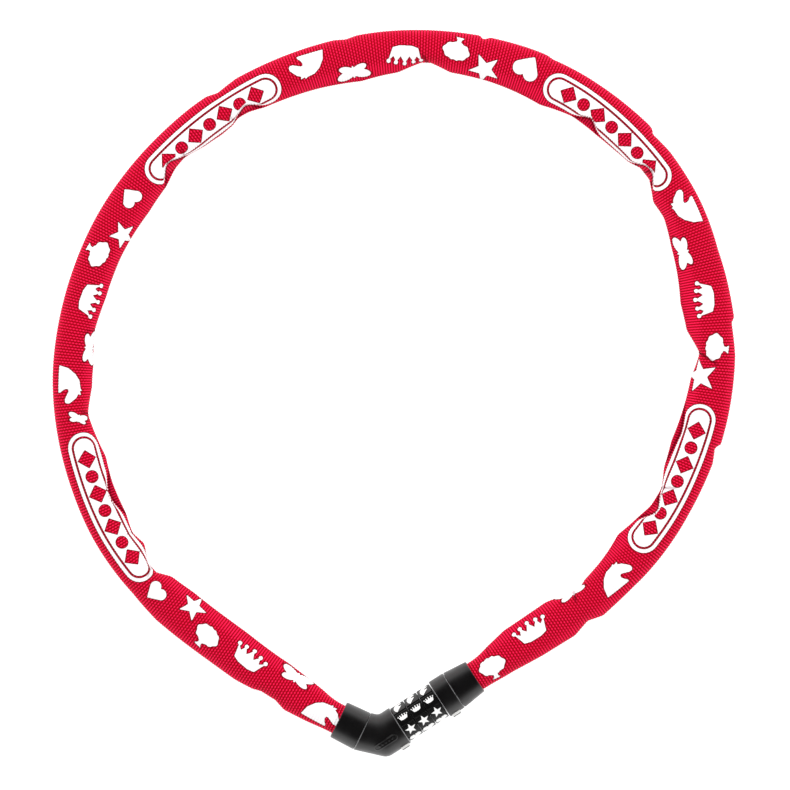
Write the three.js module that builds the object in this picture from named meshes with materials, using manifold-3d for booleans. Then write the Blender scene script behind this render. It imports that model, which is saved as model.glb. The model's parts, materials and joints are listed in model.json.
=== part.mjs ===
// A combination chain lock for a bicycle: a steel chain in a woven tubular sleeve, closed into a
// loop by a cylindrical three-dial lock with an elbow. It lies flat, as on a table.
// Units are millimetres, +Z is up, and the loop lies in the XY plane, with its lock at -Y.

import * as THREE from "three";
import { ParametricGeometry } from "three/addons/geometries/ParametricGeometry.js";
import { mergeVertices } from "three/addons/utils/BufferGeometryUtils.js";
import Module from "manifold-3d";

const wasm = await Module();
wasm.setup();

// ---------------------------------------------------------------- driving dimensions

const ROUND = 48; // facets on an outer round surface
const CAP_ROUND = 36; // facets on a sleeve cap
const BORE_ROUND = 32; // facets on an inner round surface
const OVERCUT = 1; // how far a cutter runs past the surface that it opens
const FIT_GAP = 0.3; // between moulded parts that fit into each other
const EDGE = 0.5; // bevel on a moulded edge

// The lock's two axes meet at the elbow's corner.
const CORNER = new THREE.Vector2(-8.4, -186);
const BODY_RADIUS = 11;
const LOCK_AXIS_DEG = 33; // the dials' axis, from +X
const CHAIN_LEG_DEG = 153.6; // the elbow's short leg, from +X
const ELBOW_LEG = 9.7; // corner to the chain cap's seam
const ELBOW_REACH = 14; // corner to the first dial
const ELBOW_WALL = 2.1;
const ELBOW_STEPS = 9;
const DIAL_PITCH = 8.3;
const DIAL_COUNT = 3;
const DIAL_WIDTH = 7.8;
const DIALS_FROM = 14.3;
const COLLAR_FROM = 39.3;
const COLLAR_TO = 48.3;
const PLUG_CAP_FROM = 48.6;
const PLUG_CAP_TO = 62;
const CHAIN_CAP_FROM = 10;
const CHAIN_CAP_TO = 23.8;
const CHAIN_CAP_ROOT = 10.75; // a cap's radius at its lock end, and then at its mouth
const CHAIN_CAP_MOUTH = 10.4;
const PLUG_CAP_ROOT = 10.5;
const PLUG_CAP_MOUTH = 9.4;
const CAP_BORE = 9;
const CAP_LIP = 1.6; // length of the cap's tight mouth
const CAP_BACK = 1.8; // thickness of the cap's end wall
const MOUTH_FIT = 0.2;
const CLAMP_FROM_MOUTH = 2.2;
const CLAMP_LENGTH = 3.6;
const CLAMP_WALL = 0.6;

// The locking mechanism, as radii about the dials' axis.
const TUBE_RADIUS = 5.9;
const TUBE_BORE = 3.2;
const TUBE_TO = 45.2;
const BORE_FROM = 12.5;
const KEYWAY_FROM = 14.2;
const BOLT_RADIUS = 2.6;
const BOLT_FROM = 14.9;
const FIN_TIP = 6.75;
const FIN_WIDTH = 3;
const FIN_LENGTH = 2.5;
const KEYWAY = 3.8; // width of the tube's slot and of a code ring's gate
const CODE_RING_OUTER = 7.85;
const CODE_RING_BORE = 6.1;
const CODE_RING_GROOVE = 7.2;
const GROOVE_LENGTH = 3.8;
const CLICK_RADIUS = 0.8; // one of the hollows that a code ring clicks in
const SPRING_SEAT = 4.7;
const SPRING_WIDTH = 2.6; // width of the spring's pocket
const SPRING_STRIP_WIDTH = 0.8;
const SPRING_THICK = 0.4;
const SPRING_INSET = 1.4; // from the dials' ends to the spring's
const SPRING_CREST = 5.95; // lies just inside the code rings
const CREST_FOOT_HALF = 1.3;
const CREST_TOP_HALF = 0.4;
const SNAP_FROM = 43.7; // the collar's snap ring
const SNAP_TO = 44.5;
const SNAP_INNER = 5.2;
const SNAP_OUTER = 6.9;
const SNAP_FIT = 0.15;
const SNAP_GAP = 4.4; // between the snap ring's ends
const WASHER_INNER = 7.3;
const WASHER_OUTER = 8.6;
const WASHER_FIT = 0.12;

// A dial is an eight-sided ring with a groove along each corner.
const DIAL_FACES = 8;
const DIAL_BORE = 8;
const DIAL_CORNER = 10.45;
const DIAL_GROOVE_FLOOR = 9.85;
const DIAL_GROOVE_HALF_DEG = 2.6;
const DIAL_EDGE = 0.3;

// White bars beside the dials mark the line on which the code is read.
const INDEX_DEG = 73; // from the top, towards the outside of the loop
const INDEX_LENGTH = 5;
const INDEX_WIDTH = 1.8;
const INDEX_TOP = 12.6;
const INDEX_FOOT = 10.3;
const INDEX_FIT = 0.15;
const INDEX_FROM_DIALS = 1.2;

// Each end of the chain is held by a pin across a slotted block, a clevis.
const CLEVIS_RADIUS = 7;
const CLEVIS_PAST_PIN = 5;
const SLOT_GAP = 0.5; // between a link's end and the slot's floor
const SLOT_SIDE_GAP = 0.6;
const PIN_FIT = 0.25;
const PIN_RADIUS = 1.9;
const PIN_LENGTH = 12.8;
const PIN_FROM_SEAM = 3.5; // leg pin to the chain cap's seam
const PLUG_PIN_AT = 53.2;

// The chain, of square wire with worn corners. A pivot is the middle of the play between two links.
const LINK_COUNT = 36;
const WIRE = 4;
const WIRE_CHAMFER = 1;
const LINK_INNER_WIDTH = 6;
const LINK_PLAY = 1.9;
const PIN_PLAY = 0.4;
const LINK_END = LINK_PLAY / 2 + WIRE; // a link's end, beyond its pivot
const LINK_TILT_DEG = 45;

// The woven sleeve: round in the caps, an oval lying flat along the loop.
const SLEEVE_WALL = 0.7;
const SLEEVE_END_RADIUS = 8.1;
const SLEEVE_HALF_WIDTH = 10.5;
const SLEEVE_HALF_HEIGHT = 7.7;
const SLEEVE_EASE = 26; // length over which the round end opens to the oval
const SLEEVE_IN_CAP = 7.4; // how far each end reaches into its cap
const SLEEVE_STEPS = 50;
const SLEEVE_SIDES = 16;

// The loop as laid by hand: its radius about its own centre, every 30 degrees clockwise from 240.
const LOOP_CENTRE = new THREE.Vector2(-0.3, 4.6);
const LOOP_START_DEG = 240;
const LOOP_STEP_DEG = -30;
const LOOP_RADII = [169.2, 171.7, 173.3, 173.1, 174.3, 180.4, 185.5, 182.4, 171.5, 161.6, 155.1];
const SAG_LENGTH = 90; // over which the chain comes down from the lock's axis to the table

const rad = THREE.MathUtils.degToRad;
const deg = THREE.MathUtils.radToDeg;

// ---------------------------------------------------------------- materials

function finish(color, roughness, metalness) {
  return new THREE.MeshStandardMaterial({ color, roughness, metalness });
}
const casing = finish(0x1c1b1c, 0.55, 0);
const dialPlastic = finish(0x121213, 0.4, 0);
const whitePlastic = finish(0xf2f2f0, 0.5, 0);
const castZinc = finish(0x8f9296, 0.45, 0.9);
const hardSteel = finish(0x6f7377, 0.35, 1);
const springSteel = finish(0xb8bcc0, 0.25, 1);
const wovenNylon = finish(0xd41635, 0.85, 0);

// ---------------------------------------------------------------- solids

function solidOf(geometry) {
  const bare = new THREE.BufferGeometry();
  bare.setAttribute("position", geometry.getAttribute("position"));
  if (geometry.index) bare.setIndex(geometry.index);
  const merged = mergeVertices(bare, 1e-4);
  return new wasm.Manifold(
    new wasm.Mesh({
      numProp: 3,
      vertProperties: merged.getAttribute("position").array,
      triVerts: new Uint32Array(merged.index.array),
    }),
  );
}

function geometryOf(solid) {
  const mesh = solid.getMesh();
  const geometry = new THREE.BufferGeometry();
  geometry.setAttribute("position", new THREE.BufferAttribute(mesh.vertProperties, 3));
  geometry.setIndex(new THREE.BufferAttribute(mesh.triVerts, 1));
  geometry.computeVertexNormals();
  return geometry;
}

function cutFrom(solid, ...cutters) {
  return cutters.reduce((left, cutter) => left.subtract(cutter), solid);
}

// A solid of revolution about +X, from a closed outline of [x, radius] pairs. A facet faces -Z.
function turned(outline, sides = ROUND) {
  const points = outline.map(([x, radius]) => new THREE.Vector2(radius, x));
  points.push(points[0].clone());
  const half = Math.PI / sides;
  const geometry = new THREE.LatheGeometry(points, sides, half, 2 * Math.PI);
  return solidOf(geometry.rotateZ(-Math.PI / 2));
}

function rod(from, to, radius, sides = BORE_ROUND) {
  return turned([[from, 0], [to, 0], [to, radius], [from, radius]].reverse(), sides);
}

function ring(from, to, inner, outer, sides = ROUND) {
  return turned([[from, inner], [from, outer], [to, outer], [to, inner]], sides);
}

function block(x, y, z) {
  const size = [x[1] - x[0], y[1] - y[0], z[1] - z[0]];
  const middle = [x, y, z].map(([low, high]) => (low + high) / 2);
  return solidOf(new THREE.BoxGeometry(...size).translate(...middle));
}

// A bar along a curve, with a round section.
function bent(path, radius, steps, sides = ROUND) {
  const section = new THREE.Shape();
  for (let side = 0; side < sides; side += 1) {
    const angle = ((side + 0.5) / sides) * 2 * Math.PI;
    const point = [radius * Math.cos(angle), radius * Math.sin(angle)];
    if (side === 0) section.moveTo(...point);
    else section.lineTo(...point);
  }
  return solidOf(new THREE.ExtrudeGeometry(section, { steps, extrudePath: path }));
}

// ---------------------------------------------------------------- the loop's centre line

function direction(degrees) {
  return new THREE.Vector2(Math.cos(rad(degrees)), Math.sin(rad(degrees)));
}
const lockAxis = direction(LOCK_AXIS_DEG);
const chainLeg = direction(CHAIN_LEG_DEG);

function alongLeg(distance) {
  return chainLeg.clone().multiplyScalar(distance).add(CORNER);
}
function alongLock(distance) {
  return lockAxis.clone().multiplyScalar(distance).add(CORNER);
}

const ANCHOR_AT = ELBOW_LEG + PIN_FROM_SEAM;
// A pin is thinner than a link, so the play's middle lies a little beyond the pin.
const PIN_SHIFT = PIN_RADIUS + PIN_PLAY - LINK_PLAY / 2;
const CHAIN_FROM = ANCHOR_AT - PIN_SHIFT;
const CHAIN_TO = PLUG_PIN_AT - PIN_SHIFT;
const STRAIGHT_PAST_CAP = 8;
const FIRST_STRAIGHT = CHAIN_CAP_TO - CHAIN_FROM;
const LAST_STRAIGHT = PLUG_CAP_TO - CHAIN_TO;

class LoopCurve extends THREE.Curve {
  constructor() {
    super();
    const loop = LOOP_RADII.map((radius, step) =>
      direction(LOOP_START_DEG + step * LOOP_STEP_DEG).multiplyScalar(radius).add(LOOP_CENTRE),
    );
    const points = [CHAIN_FROM, CHAIN_CAP_TO, CHAIN_CAP_TO + STRAIGHT_PAST_CAP].map(alongLeg);
    points.push(...loop);
    points.push(...[PLUG_CAP_TO + STRAIGHT_PAST_CAP, PLUG_CAP_TO, CHAIN_TO].map(alongLock));
    this.flat = new THREE.CatmullRomCurve3(points.map((p) => new THREE.Vector3(p.x, p.y, 0)));
    this.flat.arcLengthDivisions = 2000;
    this.length = this.flat.getLength();
  }

  getPoint(share, target = new THREE.Vector3()) {
    const before = share * this.length - FIRST_STRAIGHT;
    const after = (1 - share) * this.length - LAST_STRAIGHT;
    const down = THREE.MathUtils.smoothstep(Math.min(before, after), 0, SAG_LENGTH);
    target.copy(this.flat.getPointAt(share));
    target.z = THREE.MathUtils.lerp(BODY_RADIUS, SLEEVE_HALF_HEIGHT, down);
    return target;
  }
}
const loopCurve = new LoopCurve();

// Points a fixed pitch apart along the loop, with the pitch chosen so that they end on its last.
function pivotsAlong(curve, count) {
  const samples = curve.getPoints(6000);
  function march(pitch) {
    const found = [samples[0]];
    let at = 0;
    while (found.length <= count && at < samples.length) {
      const from = found[found.length - 1];
      while (at < samples.length && samples[at].distanceTo(from) < pitch) at += 1;
      if (at === samples.length) return null;
      const back = samples[at - 1];
      const before = back.distanceTo(from);
      const share = (pitch - before) / (samples[at].distanceTo(from) - before);
      found.push(back.clone().lerp(samples[at], share));
    }
    return found;
  }
  let low = 10;
  let high = 60;
  for (let round = 0; round < 50; round += 1) {
    const pitch = (low + high) / 2;
    if (march(pitch)) low = pitch;
    else high = pitch;
  }
  return march(low);
}
const pivots = pivotsAlong(loopCurve, LINK_COUNT);
const linkPitch = pivots[0].distanceTo(pivots[1]);

// ---------------------------------------------------------------- the scene graph

const chainLock = new THREE.Group();
const lockGroup = new THREE.Group();
lockGroup.position.set(CORNER.x, CORNER.y, BODY_RADIUS);
lockGroup.rotation.z = rad(LOCK_AXIS_DEG);
const legGroup = new THREE.Group();
legGroup.position.copy(lockGroup.position);
legGroup.rotation.z = rad(CHAIN_LEG_DEG);
chainLock.add(lockGroup, legGroup);

function addPiece(group, name, solid, material) {
  const mesh = new THREE.Mesh(geometryOf(solid), material);
  mesh.name = name;
  group.add(mesh);
  return mesh;
}

// ---------------------------------------------------------------- chain links

// A flat oval in the XY plane, its long side along X.
function oval(path, length, width) {
  const radius = width / 2;
  const straight = (length - width) / 2;
  path.moveTo(-straight, -radius);
  path.lineTo(straight, -radius);
  path.absarc(straight, 0, radius, -Math.PI / 2, Math.PI / 2, false);
  path.lineTo(-straight, radius);
  path.absarc(-straight, 0, radius, Math.PI / 2, (3 * Math.PI) / 2, false);
  return path;
}

function linkGeometry(pitch) {
  const holeLength = pitch + LINK_PLAY;
  const link = oval(new THREE.Shape(), holeLength + 2 * WIRE, LINK_INNER_WIDTH + 2 * WIRE);
  link.holes.push(oval(new THREE.Path(), holeLength, LINK_INNER_WIDTH));
  const geometry = new THREE.ExtrudeGeometry(link, {
    depth: WIRE - 2 * WIRE_CHAMFER,
    curveSegments: 2,
    bevelThickness: WIRE_CHAMFER,
    bevelSize: WIRE_CHAMFER,
    bevelOffset: -WIRE_CHAMFER,
    bevelSegments: 1,
  });
  return geometry.translate(0, 0, -WIRE / 2 + WIRE_CHAMFER);
}

function addChain() {
  const solid = solidOf(linkGeometry(linkPitch));
  for (let link = 1; link <= LINK_COUNT; link += 1) {
    const [from, to] = [pivots[link - 1], pivots[link]];
    const name = `chain_link_${String(link).padStart(2, "0")}`;
    const mesh = addPiece(chainLock, name, solid, hardSteel);
    const along = to.clone().sub(from).normalize();
    const side = new THREE.Vector3(0, 0, 1).cross(along).normalize();
    const up = along.clone().cross(side);
    mesh.position.copy(from).lerp(to, 0.5);
    mesh.quaternion.setFromRotationMatrix(new THREE.Matrix4().makeBasis(along, side, up));
    mesh.rotateX(tiltOf(link));
  }
}

// Neighbouring links cross at a right angle, each leaning equally to the table.
function tiltOf(link) {
  return rad(link % 2 ? LINK_TILT_DEG : -LINK_TILT_DEG);
}

// ---------------------------------------------------------------- sleeve

// Distances along the loop at which the sleeve has a ring of corners, close together near its ends.
function sleeveStations() {
  const mouths = [FIRST_STRAIGHT, loopCurve.length - LAST_STRAIGHT];
  const nearEnd = [-SLEEVE_IN_CAP, 0.5, 7, 13, 19, SLEEVE_EASE];
  const [low, high] = [mouths[0] + SLEEVE_EASE, mouths[1] - SLEEVE_EASE];
  const stations = nearEnd.map((past) => mouths[0] + past);
  for (let step = 1; step < SLEEVE_STEPS; step += 1) {
    stations.push(THREE.MathUtils.lerp(low, high, step / SLEEVE_STEPS));
  }
  return stations.concat(nearEnd.reverse().map((past) => mouths[1] - past));
}

// How far the sleeve has opened from its round end to its oval, from 0 to 1.
function sleeveOpening(distance) {
  const fromEnd = Math.min(distance - FIRST_STRAIGHT, loopCurve.length - LAST_STRAIGHT - distance);
  return THREE.MathUtils.smoothstep(fromEnd, 0, SLEEVE_EASE);
}

function addSleeve() {
  const stations = sleeveStations();
  const turns = 2 * stations.length;
  // around runs once round the section; through runs out along the outside and back inside
  const geometry = new ParametricGeometry((around, through, target) => {
    const step = Math.round(through * turns) % turns;
    const inside = step >= stations.length;
    const distance = stations[inside ? turns - 1 - step : step];
    const open = sleeveOpening(distance);
    const wall = inside ? SLEEVE_WALL : 0;
    const wide = THREE.MathUtils.lerp(SLEEVE_END_RADIUS, SLEEVE_HALF_WIDTH, open) - wall;
    const high = THREE.MathUtils.lerp(SLEEVE_END_RADIUS, SLEEVE_HALF_HEIGHT, open) - wall;
    const share = distance / loopCurve.length;
    const along = loopCurve.getTangent(share);
    const side = new THREE.Vector3(-along.y, along.x, 0).normalize();
    const up = along.clone().cross(side);
    const angle = ((around * SLEEVE_SIDES + 0.5) / SLEEVE_SIDES) * 2 * Math.PI;
    target.copy(loopCurve.getPoint(share));
    target.addScaledVector(side, wide * Math.cos(angle));
    target.addScaledVector(up, high * Math.sin(angle));
  }, SLEEVE_SIDES, turns);
  addPiece(chainLock, "fabric_sleeve", facingOut(solidOf(geometry)), wovenNylon);
}

function facingOut(solid) {
  return solid.volume() < 0 ? reversed(solid) : solid;
}

function reversed(solid) {
  const { numProp, vertProperties, triVerts } = solid.getMesh();
  const flipped = triVerts.slice().reverse();
  return new wasm.Manifold(new wasm.Mesh({ numProp, vertProperties, triVerts: flipped }));
}

// ---------------------------------------------------------------- lock body

// The elbow's centre line in its own plane, in the lock group's frame.
function elbowPath(legEnd, lockEnd) {
  const turn = rad(CHAIN_LEG_DEG - LOCK_AXIS_DEG);
  const bendRadius = ELBOW_LEG * Math.tan(turn / 2);
  const leg = new THREE.Vector3(Math.cos(turn), Math.sin(turn), 0);
  const path = new THREE.CurvePath();
  const legBend = leg.clone().multiplyScalar(ELBOW_LEG);
  const lockBend = new THREE.Vector3(ELBOW_LEG, 0, 0);
  if (legEnd > ELBOW_LEG) path.add(new THREE.LineCurve3(leg.clone().multiplyScalar(legEnd), legBend));
  path.add(new BendCurve(lockBend, bendRadius, Math.PI - turn));
  path.add(new THREE.LineCurve3(lockBend, new THREE.Vector3(lockEnd, 0, 0)));
  return path;
}

// An arc that arrives at a point heading along +X, from above its line.
class BendCurve extends THREE.Curve {
  constructor(end, radius, sweep) {
    super();
    this.end = end;
    this.radius = radius;
    this.sweep = sweep;
  }

  getPoint(share, target = new THREE.Vector3()) {
    const angle = (1 - share) * this.sweep;
    target.set(-this.radius * Math.sin(angle), this.radius * (1 - Math.cos(angle)), 0);
    return target.add(this.end);
  }
}

function addElbow() {
  const outer = bent(elbowPath(ELBOW_LEG, ELBOW_REACH), BODY_RADIUS, ELBOW_STEPS);
  const hollow = elbowPath(ELBOW_LEG + OVERCUT, ELBOW_REACH + OVERCUT);
  const inner = bent(hollow, BODY_RADIUS - ELBOW_WALL, ELBOW_STEPS, BORE_ROUND);
  const pocket = indexPocket(INDEX_ON_ELBOW);
  addPiece(lockGroup, "elbow_housing", cutFrom(outer, inner, pocket), casing);
}

// A slot and a cross hole for a link held by a pin, in a block that runs along +X.
function clevisCutters(pinAt, slotFrom, slotTo, tilt) {
  const slotHalf = WIRE / 2 + SLOT_SIDE_GAP;
  const across = 2 * CLEVIS_RADIUS;
  const slot = block([slotFrom, slotTo], [-across, across], [-slotHalf, slotHalf]);
  const hole = solidOf(
    new THREE.CylinderGeometry(PIN_RADIUS + PIN_FIT, PIN_RADIUS + PIN_FIT, 2 * across, 24)
      .rotateX(Math.PI / 2)
      .translate(pinAt, 0, 0),
  );
  return [slot, hole].map((cutter) => cutter.rotate([deg(tilt), 0, 0]));
}

function crossPin(at, tilt) {
  const geometry = new THREE.CylinderGeometry(PIN_RADIUS, PIN_RADIUS, PIN_LENGTH, 24);
  return solidOf(geometry.rotateX(Math.PI / 2).rotateX(tilt).translate(at, 0, 0));
}

function addLockCore() {
  const turnDeg = CHAIN_LEG_DEG - LOCK_AXIS_DEG;
  const coreRadius = BODY_RADIUS - ELBOW_WALL - FIT_GAP;
  const knee = bent(elbowPath(ELBOW_LEG - 0.6, ELBOW_REACH - 0.3), coreRadius, ELBOW_STEPS, 24);
  const slotFrom = CHAIN_FROM - LINK_END - SLOT_GAP;
  const legTo = ANCHOR_AT + CLEVIS_PAST_PIN;
  const tilt = tiltOf(1);
  const toLeg = (solid) => solid.rotate([0, 0, turnDeg]);
  const leg = toLeg(rod(ELBOW_LEG - 3 * OVERCUT, legTo, CLEVIS_RADIUS));
  const cutters = clevisCutters(ANCHOR_AT, slotFrom, legTo + OVERCUT, tilt).map(toLeg);
  const tube = rod(ELBOW_REACH - 3 * OVERCUT, TUBE_TO, TUBE_RADIUS);
  const tubeEnd = TUBE_TO + OVERCUT;
  const bore = rod(BORE_FROM, tubeEnd, TUBE_BORE);
  const finSlot = block([KEYWAY_FROM, tubeEnd], [-TUBE_RADIUS - OVERCUT, 0], [-KEYWAY / 2, KEYWAY / 2]);
  const springPocket = block(
    [DIALS_FROM + 1, COLLAR_FROM - 1],
    [SPRING_SEAT, TUBE_RADIUS + OVERCUT],
    [-SPRING_WIDTH / 2, SPRING_WIDTH / 2],
  );
  const grooveFloor = SNAP_INNER - SNAP_FIT;
  const grooveTop = TUBE_RADIUS + OVERCUT;
  const snapGroove = ring(SNAP_FROM - SNAP_FIT, SNAP_TO + SNAP_FIT, grooveFloor, grooveTop, BORE_ROUND);
  const core = cutFrom(knee.add(leg).add(tube), ...cutters, bore, finSlot, springPocket, snapGroove);
  addPiece(lockGroup, "lock_core", core, castZinc);
  addPiece(legGroup, "anchor_pin", crossPin(ANCHOR_AT, tilt), hardSteel);
}

// A tapering end cap about +X, holding a round sleeve end in its mouth.
function capSolid(from, to, rootRadius, mouthRadius, throat) {
  const mouth = SLEEVE_END_RADIUS + MOUTH_FIT;
  return turned([
    [from, throat],
    [from, rootRadius - EDGE],
    [from + EDGE, rootRadius],
    [to - EDGE, mouthRadius],
    [to, mouthRadius - EDGE],
    [to, mouth],
    [to - CAP_LIP, mouth],
    [to - CAP_LIP, CAP_BORE],
    [from + CAP_BACK, CAP_BORE],
    [from + CAP_BACK, throat],
  ], CAP_ROUND);
}
function clampRing(mouth) {
  const to = mouth - CLAMP_FROM_MOUTH;
  const inner = SLEEVE_END_RADIUS + MOUTH_FIT / 2;
  return ring(to - CLAMP_LENGTH, to, inner, inner + CLAMP_WALL, CAP_ROUND);
}

function addChainCap() {
  const cap = capSolid(CHAIN_CAP_FROM, CHAIN_CAP_TO, CHAIN_CAP_ROOT, CHAIN_CAP_MOUTH, CLEVIS_RADIUS + FIT_GAP);
  addPiece(legGroup, "chain_cap", cap, casing);
  addPiece(legGroup, "chain_cap_clamp", clampRing(CHAIN_CAP_TO), springSteel);
}

function addCollar() {
  const socket = CLEVIS_RADIUS + FIT_GAP;
  const seat = SNAP_FROM - FIT_GAP;
  const collar = turned([
    [COLLAR_FROM, TUBE_RADIUS + FIT_GAP],
    [COLLAR_FROM, BODY_RADIUS],
    [COLLAR_TO - EDGE, BODY_RADIUS],
    [COLLAR_TO, BODY_RADIUS - EDGE],
    [COLLAR_TO, socket],
    [seat, socket],
    [seat, TUBE_RADIUS + FIT_GAP],
  ]);
  addPiece(lockGroup, "collar", cutFrom(collar, indexPocket(INDEX_ON_COLLAR)), casing);
  const across = [-SNAP_OUTER - OVERCUT, 0];
  const gap = block([SNAP_FROM - OVERCUT, SNAP_TO + OVERCUT], across, [-SNAP_GAP / 2, SNAP_GAP / 2]);
  const snap = cutFrom(ring(SNAP_FROM, SNAP_TO, SNAP_INNER, SNAP_OUTER, BORE_ROUND), gap);
  addPiece(lockGroup, "collar_snap_ring", snap, springSteel);
}

const INDEX_ON_ELBOW = ELBOW_REACH - INDEX_FROM_DIALS - INDEX_LENGTH;
const INDEX_ON_COLLAR = COLLAR_FROM + INDEX_FROM_DIALS;

function indexPocket(from) {
  const half = INDEX_WIDTH / 2 + INDEX_FIT;
  const along = [from - INDEX_FIT, from + INDEX_LENGTH + INDEX_FIT];
  const pocket = block(along, [-half, half], [INDEX_FOOT - INDEX_FIT, INDEX_TOP + OVERCUT]);
  return pocket.rotate([INDEX_DEG, 0, 0]);
}

function addIndexMark(name, from) {
  const bar = new THREE.Shape();
  const rise = INDEX_TOP - INDEX_FOOT;
  bar.moveTo(0, 0);
  bar.lineTo(INDEX_LENGTH, 0);
  bar.lineTo(INDEX_LENGTH, rise - EDGE);
  bar.lineTo(INDEX_LENGTH - EDGE, rise);
  bar.lineTo(EDGE, rise);
  bar.lineTo(0, rise - EDGE);
  bar.closePath();
  const geometry = new THREE.ExtrudeGeometry(bar, { depth: INDEX_WIDTH, bevelEnabled: false });
  geometry.rotateX(Math.PI / 2).translate(from, INDEX_WIDTH / 2, INDEX_FOOT);
  addPiece(lockGroup, name, solidOf(geometry.rotateX(rad(INDEX_DEG))), whitePlastic);
}

// ---------------------------------------------------------------- dials

// An eight-sided ring with a groove along each corner and a face on the code line.
function dialSolid(from) {
  const outline = new THREE.Shape();
  const grooveHalf = rad(DIAL_GROOVE_HALF_DEG);
  for (let corner = 0; corner < DIAL_FACES; corner += 1) {
    const angle = ((corner + 0.5) / DIAL_FACES) * 2 * Math.PI;
    const put = (turn, radius) => [radius * Math.cos(angle + turn), radius * Math.sin(angle + turn)];
    if (corner === 0) outline.moveTo(...put(-grooveHalf, DIAL_CORNER));
    else outline.lineTo(...put(-grooveHalf, DIAL_CORNER));
    outline.lineTo(...put(0, DIAL_GROOVE_FLOOR));
    outline.lineTo(...put(grooveHalf, DIAL_CORNER));
  }
  const hole = new THREE.Path();
  hole.absarc(0, 0, DIAL_BORE, 0, 2 * Math.PI, true);
  outline.holes.push(hole);
  const geometry = new THREE.ExtrudeGeometry(outline, {
    depth: DIAL_WIDTH - 2 * DIAL_EDGE,
    curveSegments: 12,
    bevelThickness: DIAL_EDGE,
    bevelSize: DIAL_EDGE,
    bevelOffset: -DIAL_EDGE,
    bevelSegments: 1,
  });
  geometry.rotateY(Math.PI / 2).rotateX(rad(INDEX_DEG)).translate(from + DIAL_EDGE, 0, 0);
  return solidOf(geometry);
}

function codeRingSolid(from) {
  const to = from + DIAL_WIDTH;
  const blank = ring(from, to, CODE_RING_BORE, CODE_RING_OUTER, BORE_ROUND);
  const groove = rod(from - OVERCUT, from + GROOVE_LENGTH, CODE_RING_GROOVE);
  const gate = block([from, to + OVERCUT], [-CODE_RING_GROOVE, 0], [-KEYWAY / 2, KEYWAY / 2]);
  const hollow = rod(from + GROOVE_LENGTH / 2, to + OVERCUT, CLICK_RADIUS, 6);
  const clicks = [];
  for (let click = 0; click < DIAL_FACES; click += 1) {
    clicks.push(hollow.translate([0, CODE_RING_BORE, 0]).rotate([(click * 360) / DIAL_FACES, 0, 0]));
  }
  return cutFrom(blank, groove, gate, ...clicks);
}

function addDials() {
  for (let dial = 1; dial <= DIAL_COUNT; dial += 1) {
    const from = DIALS_FROM + (dial - 1) * DIAL_PITCH;
    addPiece(lockGroup, `dial_ring_${dial}`, dialSolid(from), dialPlastic);
    addPiece(lockGroup, `code_ring_${dial}`, codeRingSolid(from), castZinc);
    if (dial === DIAL_COUNT) break;
    const gap = [from + DIAL_WIDTH + WASHER_FIT, from + DIAL_PITCH - WASHER_FIT];
    const washer = ring(...gap, WASHER_INNER, WASHER_OUTER, BORE_ROUND);
    addPiece(lockGroup, `dial_washer_${dial}`, washer, springSteel);
  }
}

// A strip along the core with a crest under each code ring's hollows.
function addDetentSpring() {
  const from = DIALS_FROM + SPRING_INSET;
  const to = COLLAR_FROM - SPRING_INSET;
  const low = SPRING_SEAT + FIT_GAP;
  const high = low + SPRING_THICK;
  const strip = new THREE.Shape();
  strip.moveTo(from, low);
  strip.lineTo(to, low);
  strip.lineTo(to, high);
  for (let dial = DIAL_COUNT - 1; dial >= 0; dial -= 1) {
    const middle = DIALS_FROM + dial * DIAL_PITCH + (GROOVE_LENGTH + DIAL_WIDTH) / 2;
    strip.lineTo(middle + CREST_FOOT_HALF, high);
    strip.lineTo(middle + CREST_TOP_HALF, SPRING_CREST);
    strip.lineTo(middle - CREST_TOP_HALF, SPRING_CREST);
    strip.lineTo(middle - CREST_FOOT_HALF, high);
  }
  strip.lineTo(from, high);
  strip.closePath();
  const geometry = new THREE.ExtrudeGeometry(strip, { depth: SPRING_STRIP_WIDTH, bevelEnabled: false });
  geometry.translate(0, 0, -SPRING_STRIP_WIDTH / 2);
  addPiece(lockGroup, "detent_spring", solidOf(geometry), springSteel);
}

// ---------------------------------------------------------------- plug

function addPlug() {
  const slotFrom = CHAIN_TO - LINK_END - SLOT_GAP;
  const tilt = tiltOf(LINK_COUNT);
  const clevisTo = PLUG_PIN_AT + CLEVIS_PAST_PIN;
  const headFrom = TUBE_TO + SLOT_GAP;
  const shaft = rod(BOLT_FROM, headFrom + OVERCUT, BOLT_RADIUS, 24);
  const head = rod(headFrom, clevisTo, CLEVIS_RADIUS);
  let bolt = shaft.add(head);
  for (let fin = 0; fin < DIAL_COUNT; fin += 1) {
    const from = DIALS_FROM + fin * DIAL_PITCH + (GROOVE_LENGTH - FIN_LENGTH) / 2;
    bolt = bolt.add(block([from, from + FIN_LENGTH], [-FIN_TIP, 0], [-FIN_WIDTH / 2, FIN_WIDTH / 2]));
  }
  // the link's plane leans the other way when seen along the bolt
  bolt = cutFrom(bolt, ...clevisCutters(PLUG_PIN_AT, slotFrom, clevisTo + OVERCUT, -tilt));
  addPiece(lockGroup, "locking_bolt", bolt, hardSteel);
  addPiece(lockGroup, "plug_pin", crossPin(PLUG_PIN_AT, -tilt), hardSteel);
  const cap = capSolid(PLUG_CAP_FROM, PLUG_CAP_TO, PLUG_CAP_ROOT, PLUG_CAP_MOUTH, CLEVIS_RADIUS + FIT_GAP);
  addPiece(lockGroup, "plug_cap", cap, casing);
  addPiece(lockGroup, "plug_cap_clamp", clampRing(PLUG_CAP_TO), springSteel);
}

addElbow();
addLockCore();
addChainCap();
addCollar();
addIndexMark("index_mark_elbow", INDEX_ON_ELBOW);
addIndexMark("index_mark_collar", INDEX_ON_COLLAR);
addDials();
addDetentSpring();
addPlug();
addChain();
addSleeve();

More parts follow.
